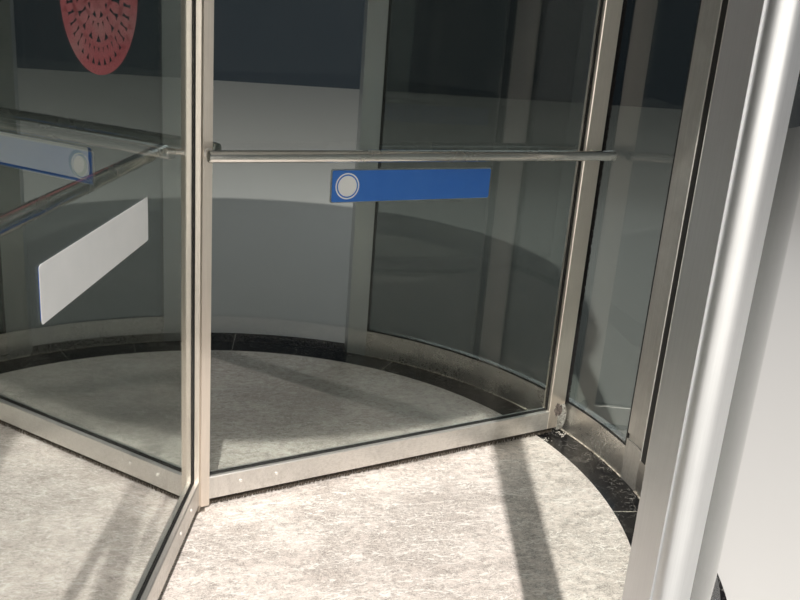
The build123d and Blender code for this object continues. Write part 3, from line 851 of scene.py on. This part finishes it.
# Bristles
# Tufts of black nylon in strips, eleven rows deep along each outer stile and three along its rails.
# They are pressed into grooves, and use has splayed them.
# Drawn nylon is black, and dust caught in it makes it grey-brown and dull towards the floor.
bristles, tree = new_finish("black_nylon_bristles")
spot = add(tree, "ShaderNodeTexCoord").outputs["Object"]
up = add(tree, "ShaderNodeSeparateXYZ", {0: spot}).outputs[2]
strands = add(tree, "ShaderNodeTexNoise", {"Vector": spot, "Scale": per_metre(6.25), "Detail": 4.0,
                                           "Roughness": 0.7}).outputs["Fac"]
low_down = ramp(tree, up, floor_top, 0.075, 0.75, 0.06)
clogged = add(tree, "ShaderNodeMath", {0: strands, 1: low_down}, operation="MULTIPLY").outputs[0]
tone = mixed(tree, clogged, linear("#17171a"), linear("#8c7f70"))
# light is lost between the tufts, so they glint less than the nylon by itself
shader = add(tree, "ShaderNodeBsdfPrincipled", {"Base Color": tone, "Roughness": 0.8,
                                                "Specular IOR Level": 0.12})
add(tree, "ShaderNodeOutputMaterial", {"Surface": shader.outputs[0]})

# the real tufts stand 2 mm apart: every second one is made, and thicker towards its tip
tuft_pitch = 0.0035
row_gap = 0.003
side_rows, rail_rows = 11, 3
tuft_root, tuft_end = 0.0011, 0.0019
tuft_corners = 4
tip_stray = 0.0009
tip_wear = 0.0007


def tufts(root, way, along, reach, row_count, seed, splay=0.0, trail=0.0):
    """Rows of four-sided tufts from a root point: way is where they point, along where they run.
    Splay is how far the tips of each row lean out from the row inside it, and trail how far the
    wall drags them all back towards the pushing side."""
    length = way.length
    deselect()
    bpy.ops.mesh.primitive_cone_add(vertices=tuft_corners, radius1=tuft_root, radius2=tuft_end,
                                    depth=length)
    piece = sized()
    piece.data.transform(Matrix.Translation((0.0, 0.0, length / 2)))
    piece.data.transform(way.to_track_quat("Z", "Y").to_matrix().to_4x4())
    piece.data.transform(Matrix.Translation(root))
    steps = ((int(reach / tuft_pitch), along * tuft_pitch), (row_count, Vector((0.0, row_gap, 0.0))))
    for count, step in steps:
        rows = piece.modifiers.new("rows", "ARRAY")
        rows.count = count
        rows.use_relative_offset = False
        rows.use_constant_offset = True
        rows.constant_offset_displace = step
        bpy.ops.object.modifier_apply(modifier=rows.name)
    hand = random.Random(seed)
    unit = way.normalized()
    for first in range(0, len(piece.data.vertices), 2 * tuft_corners):
        lean = Vector([hand.gauss(0.0, tip_stray) for axis in range(3)])
        row = round((piece.data.vertices[first].co.y - root.y) / row_gap) - row_count // 2
        lean.y += row * splay * hand.uniform(0.3, 1.0) - trail
        lean -= unit * (lean.dot(unit) + abs(hand.gauss(0.0, tip_wear)))
        for vertex in piece.data.vertices[first:first + 2 * tuft_corners]:
            if (vertex.co - root).dot(unit) > length / 2:
                vertex.co += lean
    return piece


wing_bottom, wing_top = bottom_rail_low.z, top_rail_high.z
canopy_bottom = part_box("canopy_front")[0].z
brush_tip = 1.394
tip_gap = 0.006
margin = 0.002
upward = Vector((0.0, 0.0, 1.0))
outward = Vector((1.0, 0.0, 0.0))
# the brushes point out from the stile, down from the bottom rail and up from the top rail
side_way = Vector((brush_tip - shoe_edge, 0.0, 0.0))
floor_way = Vector((0.0, 0.0, floor_top + tip_gap - wing_bottom))
canopy_way = Vector((0.0, 0.0, canopy_bottom - tip_gap - wing_top))
side_root = Vector((shoe_edge, -(side_rows // 2) * row_gap, shoe_high.z + margin))
floor_root = Vector((post_reach + margin, -(rail_rows // 2) * row_gap, wing_bottom))
canopy_root = Vector((post_reach + margin, -(rail_rows // 2) * row_gap, wing_top))
side_reach = wing_top - shoe_high.z - 2 * margin
floor_reach = shoe_start - post_reach - 2 * margin
canopy_reach = brush_tip - post_reach - 2 * margin
brushes = {
    "side": tufts(side_root, side_way, upward, side_reach, side_rows, seed=5, splay=0.0009, trail=0.006),
    "floor": tufts(floor_root, floor_way, outward, floor_reach, rail_rows, seed=6, splay=0.011),
    "canopy": tufts(canopy_root, canopy_way, outward, canopy_reach, rail_rows, seed=7),
}
for name, rows in brushes.items():
    for strip in on_every_wing(rows, name + "_bristles", bristles):
        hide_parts(name + "_brushes")


# Films
# A strip of blue vinyl, printed with a plain ring, is stuck across each wing's glass below the push bar.
# A strip of white vinyl backs it on the other face of the pane.
film_depth = 0.0003
film_corner = 0.006
badge_in = 0.052
badge_radius = 0.038
ring_radius, ring_width = 0.034, 0.004
back_ring_width = 0.011
ring_depth = film_depth / 2


def film(start, end, bottom, top, side):
    """A thin panel with rounded corners on one face of a pane: side is -1 where it is pushed, else 1."""
    deselect()
    middle = ((start + end) / 2, side * (pane_half + film_depth / 2), (bottom + top) / 2)
    bpy.ops.mesh.primitive_cube_add(size=1.0, location=middle)
    piece = sized((end - start, film_depth, top - bottom))
    edit()
    bpy.ops.mesh.select_all(action="DESELECT")
    shape = bmesh.from_edit_mesh(piece.data)
    for edge in shape.edges:
        first, last = (vertex.co for vertex in edge.verts)
        edge.select_set(abs(first.y - last.y) > film_depth / 2)
    bmesh.update_edit_mesh(piece.data)
    bpy.ops.mesh.bevel(offset=film_corner, segments=5)
    close_edit()
    return piece


def flat_ring(along, up, radius, width, lift, side):
    """A thin ring, or a disc if its width is its radius, that far in front of a pane."""
    deselect()
    middle = (along, side * (pane_half + lift), up)
    bpy.ops.mesh.primitive_circle_add(vertices=48, radius=radius, fill_type="NGON", location=middle,
                                      rotation=(pi / 2, 0.0, 0.0))
    piece = sized()
    edit()
    if width < radius:
        bpy.ops.mesh.inset(thickness=width)
        bpy.ops.mesh.delete(type="FACE")
        bpy.ops.mesh.select_all(action="SELECT")
    bpy.ops.mesh.extrude_region_move(TRANSFORM_OT_translate={"value": (0.0, side * ring_depth, 0.0)})
    close_edit()
    return piece


def vinyl(name, low, high, glow):
    """Matt printed film, a little uneven in tone, that lets some of the daylight behind it through."""
    finish, tree = new_finish(name)
    spot = add(tree, "ShaderNodeTexCoord").outputs["Object"]
    wear = add(tree, "ShaderNodeTexNoise", {"Vector": spot, "Scale": per_metre(55.56),
                                            "Detail": 5.0}).outputs["Fac"]
    tone = mixed(tree, wear, linear(low), linear(high))
    face = add(tree, "ShaderNodeBsdfPrincipled", {"Base Color": tone, "Roughness": 0.4})
    through = add(tree, "ShaderNodeBsdfTranslucent", {"Color": tone})
    both = add(tree, "ShaderNodeMixShader", {0: glow, 1: face.outputs[0], 2: through.outputs[0]})
    add(tree, "ShaderNodeOutputMaterial", {"Surface": both.outputs[0]})
    return finish


vinyl_blue = vinyl("blue_vinyl_film", "#3a78d6", "#4a88e0", 0.2)
vinyl_white = vinyl("white_vinyl_backing", "#eef1f1", "#fbfcfc", 0.12)
vinyl_pale = vinyl("pale_green_vinyl", "#bccdc4", "#d3e0d9", 0.12)
# each film's start and end along its wing, and its bottom and top over the floor
film_places = {
    "a": (0.389, 0.945, 0.893, 0.990),
    "b": (0.397, 0.950, 0.898, 0.998),
    "c": (0.448, 1.004, 0.911, 1.004),
}
# how far each print stays inside that outline all round, and its backing at two of its sides
film_insets = {"a": (0.003, 0.0), "b": (0.0, 0.008), "c": (0.003, 0.0)}
for wing, (start, end, low, high) in film_places.items():
    bottom, top = floor_top + low, floor_top + high
    middle = (bottom + top) / 2
    badge = start + badge_in
    inset, back_inset = film_insets[wing]
    front = film(start + inset, end - inset, bottom + inset, top - inset, -1.0)
    back = film(start + back_inset, end, bottom + back_inset, top, 1.0)
    disc = flat_ring(badge, middle, badge_radius, badge_radius, film_depth, -1.0)
    ring = flat_ring(badge, middle, ring_radius, ring_width, film_depth + ring_depth, -1.0)
    prints = [
        (front, "film", vinyl_blue),
        (back, "film_backing", vinyl_white),
        (disc, "film_disc", vinyl_white),
        (ring, "film_ring", vinyl_blue),
    ]
    if wing == "b":
        back_ring = flat_ring(badge, middle, badge_radius, back_ring_width, film_depth, 1.0)
        prints.append((back_ring, "film_back_ring", vinyl_pale))
    for piece, name, finish in prints:
        settle(turned(piece, wing), "wing_" + wing + "_" + name, "rotor", finish)
        discard(piece)


# Paper cut
# An upright oval of thin red paper, cut into rings, leaves and lozenges, is pasted on the left-hand pane.
# Sun has faded its rim.
oval_along, oval_up = 0.350, floor_top + 1.411
oval_wide, oval_high = 0.147, 0.210
paper_depth = 0.0003
leaf_point = 0.45


def oval_ring(share, width):
    """A flat ring of the oval's shape: share of the oval's size, and the width of the paper."""
    deselect()
    bpy.ops.mesh.primitive_circle_add(vertices=72, radius=1.0, fill_type="NGON",
                                      location=(oval_along, pane_half + paper_depth / 2, oval_up),
                                      rotation=(pi / 2, 0.0, 0.0))
    piece = sized((oval_wide * share, oval_high * share, 1.0))
    edit()
    bpy.ops.mesh.inset(thickness=width)
    bpy.ops.mesh.delete(type="FACE")
    bpy.ops.object.mode_set(mode="OBJECT")
    return piece


def leaf(angle, share, long, wide):
    """A pointed leaf that lies outward from the oval's middle, at a share of the oval's size."""
    deselect()
    bpy.ops.mesh.primitive_circle_add(vertices=8, radius=1.0, fill_type="NGON", rotation=(pi / 2, 0.0, 0.0))
    piece = sized((long / 2, wide / 2, 1.0))
    for vertex in piece.data.vertices:
        vertex.co.z *= 1.0 - leaf_point * abs(vertex.co.x) / (long / 2)
    out = Vector((oval_wide * cos(angle), 0.0, oval_high * sin(angle)))
    lean = atan2(out.z, out.x)
    piece.data.transform(Matrix.Rotation(-lean, 4, "Y"))
    middle = Vector((oval_along, pane_half + paper_depth / 2, oval_up))
    piece.data.transform(Matrix.Translation(middle + out * share))
    return piece


# the rings: their share of the oval's size, and the width of their paper
ring_rows = ((1.0, 0.025), (0.66, 0.014), (0.36, 0.012))
# the leaves between them: how many, where the first one lies, how far out, how long and how wide
leaf_rows = (
    (36, 0.5, 0.77, 0.066, 0.0225),
    (18, 0.0, 0.48, 0.064, 0.029),
    (10, 0.5, 0.17, 0.070, 0.027),
)
cuttings = [oval_ring(share, width) for share, width in ring_rows]
for count, first, share, long, wide in leaf_rows:
    for number in range(count):
        cuttings.append(leaf(2 * pi * (number + first) / count, share, long, wide))
paper_cut = joined(cuttings)
edit()
bpy.ops.mesh.normals_make_consistent(inside=False)
bpy.ops.object.mode_set(mode="OBJECT")
sheet = paper_cut.modifiers.new("sheet", "SOLIDIFY")
sheet.thickness = paper_depth
sheet.offset = 0.0
bpy.ops.object.modifier_apply(modifier=sheet.name)

# Thin dyed paper is dead matt, lets a little light through and pales where the sun has bleached it.
red_paper, tree = new_finish("faded_red_paper")
spot = add(tree, "ShaderNodeTexCoord").outputs["Object"]
fading = add(tree, "ShaderNodeTexNoise", {"Vector": spot, "Scale": per_metre(166.7),
                                          "Detail": 5.0}).outputs["Fac"]
faded = ramp(tree, fading, 0.4, 0.62, 0.0, 1.0)
tone = mixed(tree, faded, linear("#ff8c98"), linear("#ffb4ba"))
# its fibres are 0.02 mm thick and lie in clumps: these are drawn from 2.5 mm down so that they show
fibres = add(tree, "ShaderNodeTexNoise", {"Vector": spot, "Scale": per_metre(2.5),
                                          "Detail": 3.0}).outputs["Fac"]
tooth = add(tree, "ShaderNodeBump", {"Height": fibres, "Strength": 0.15, "Distance": 0.0003}).outputs[0]
face = add(tree, "ShaderNodeBsdfPrincipled", {"Base Color": tone, "Roughness": 0.85, "Normal": tooth})
through = add(tree, "ShaderNodeBsdfTranslucent", {"Color": tone})
both = add(tree, "ShaderNodeMixShader", {0: 0.15, 1: face.outputs[0], 2: through.outputs[0]})
add(tree, "ShaderNodeOutputMaterial", {"Surface": both.outputs[0]})
settle(turned(paper_cut, "b"), "wing_b_paper_cut", "rotor", red_paper)
discard(paper_cut)


# Studio
# The door stands on a plain pale floor, in surroundings that are pale to the street and dim to the inside.
# A small strong lamp high on the street side throws the shadows, a long screen below it lights the steel,
# and a weak lamp fills the inside.
deselect()
bpy.ops.mesh.primitive_plane_add(size=40.0, location=(0.0, 0.0, 0.0))
studio_floor = bpy.context.object
studio_floor.name = "studio_floor"
# Matt painted board is even and pale, so that the shadow under the door shows.
pale, tree = new_finish("pale_studio_floor")
shader = add(tree, "ShaderNodeBsdfPrincipled", {"Base Color": linear("#c9c8c5"), "Roughness": 0.7})
add(tree, "ShaderNodeOutputMaterial", {"Surface": shader.outputs[0]})
studio_floor.data.materials.append(pale)

world = bpy.data.worlds.new("studio")
bpy.context.scene.world = world
world.use_nodes = True
world.node_tree.nodes.clear()
tree = world.node_tree
direction = add(tree, "ShaderNodeTexCoord").outputs["Generated"]
parts = add(tree, "ShaderNodeSeparateXYZ", {0: direction}).outputs
street = ramp(tree, parts[1], -0.7, 0.6, 1.0, 0.0)
around_us = mixed(tree, street, linear("#434b53"), linear("#e3e2e0"))
surroundings = add(tree, "ShaderNodeBackground", {"Color": around_us, "Strength": 0.5})
add(tree, "ShaderNodeOutputWorld", {"Surface": surroundings.outputs[0]})

# each lamp's place, what it points at, its size, its power in watts and its colour
lamps = (
    ("street_lamp", (-0.95, -8.0, 9.7), (0.2, -0.5, 0.0), (0.15, 0.15), 2250.0, "#fff9f4"),
    ("street_screen", (-2.4, -7.2, 1.5), (-0.6, 0.0, 1.2), (15.2, 2.6), 215.0, "#fff8ee"),
    ("inside_lamp", (3.0, 5.0, 3.4), (0.0, 0.4, 0.9), (2.4, 2.4), 45.0, "#eef3fa"),
)
for name, spot, target, size, power, colour in lamps:
    light = bpy.data.lights.new(name, "AREA")
    light.shape = "RECTANGLE"
    light.size, light.size_y = size
    light.energy = power
    light.color = linear(colour)[:3]
    lamp = bpy.data.objects.new(name, light)
    lamp.location = spot
    lamp.visible_camera = False
    lamp.rotation_euler = (Vector(target) - Vector(spot)).to_track_quat("-Z", "Y").to_euler()
    bpy.context.scene.collection.objects.link(lamp)


# Camera
# A 38 mm lens, 1.36 m over the floor in the entrance on the street side.
# It is turned to the right, tipped down and rolled a little, as in the photograph.
camera_heading = radians(14.23)
camera_pitch = radians(17.22)
camera_roll = radians(4.51)
camera_place = Vector((0.0, -2.2577, floor_top + 1.3619))
camera_lens = 38.19
view = bpy.data.cameras.new("camera")
view.lens = camera_lens
view.clip_start = 0.02
camera = bpy.data.objects.new("camera", view)
heading = Matrix.Rotation(-camera_heading, 4, "Z")
pitch = Matrix.Rotation(pi / 2 - camera_pitch, 4, "X")
roll = Matrix.Rotation(camera_roll, 4, "Z")
camera.matrix_world = Matrix.Translation(camera_place) @ heading @ pitch @ roll
bpy.context.scene.collection.objects.link(camera)
bpy.context.scene.camera = camera
bpy.context.scene.view_settings.view_transform = "Standard"
